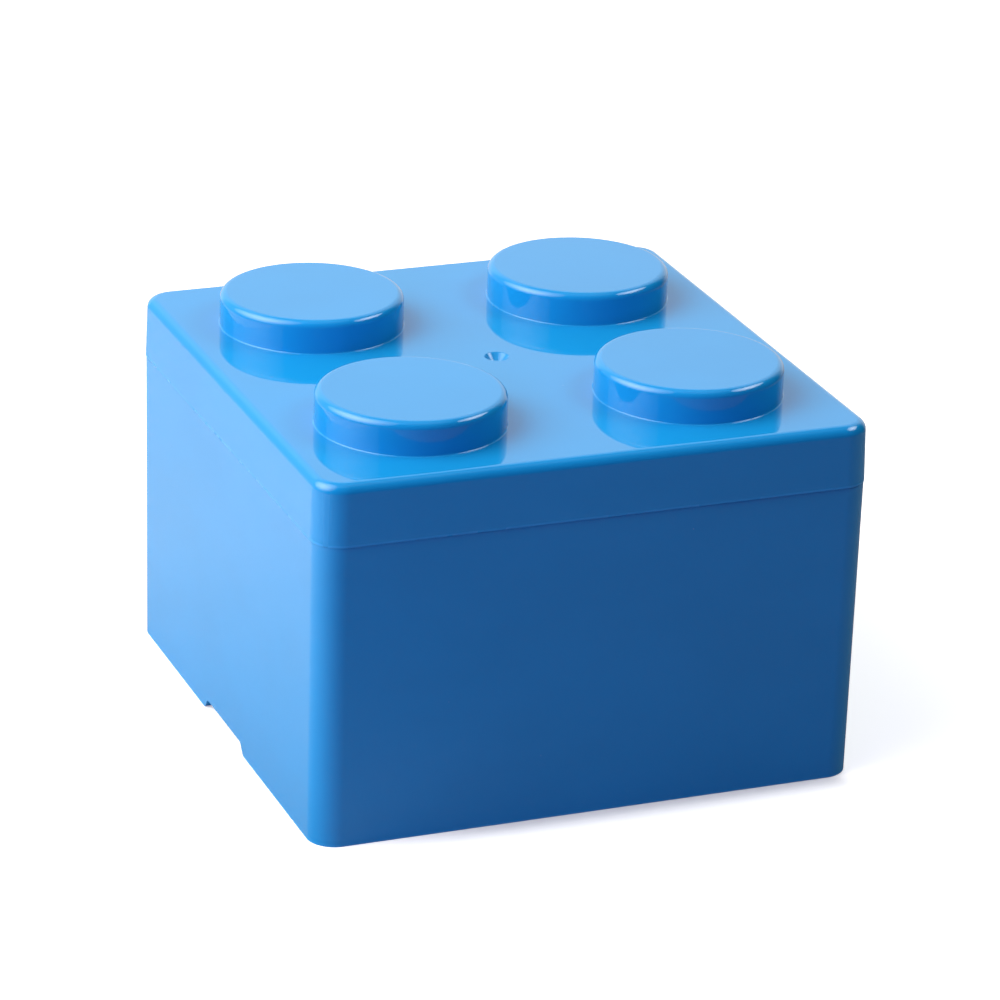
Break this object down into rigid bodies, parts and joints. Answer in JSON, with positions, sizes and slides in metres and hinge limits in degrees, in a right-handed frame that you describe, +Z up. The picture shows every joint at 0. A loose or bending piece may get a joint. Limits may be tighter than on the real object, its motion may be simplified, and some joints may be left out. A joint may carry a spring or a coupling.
{
  "type": "brick shaped storage box",
  "caption": "Square plastic storage box with a lift-off lid and round studs on top, shaped like a building brick, made to stack on others of its kind.",
  "frame": {"origin": "middle of the foot, on the surface that the box stands on", "axes": "+Z up through the middle of the lid, +X and -X through the sides with a notch in the foot, -Y the plain front"},
  "size_m": [0.115, 0.115, 0.0821],
  "materials": {
    "box_plastic": "glossy blue, self coloured, polished outside and satin inside",
    "lid_plastic": "glossy blue, self coloured, polished outside and satin inside"
  },
  "bodies": {
    "box": {"box": "box_plastic"},
    "lid": {"lid": "lid_plastic"}
  },
  "joints": [
    {"name": "lid_lift", "type": "slide", "parent": "box", "child": "lid", "axis": [0, 0, 1], "range_m": [0, 0.08]}
  ]
}
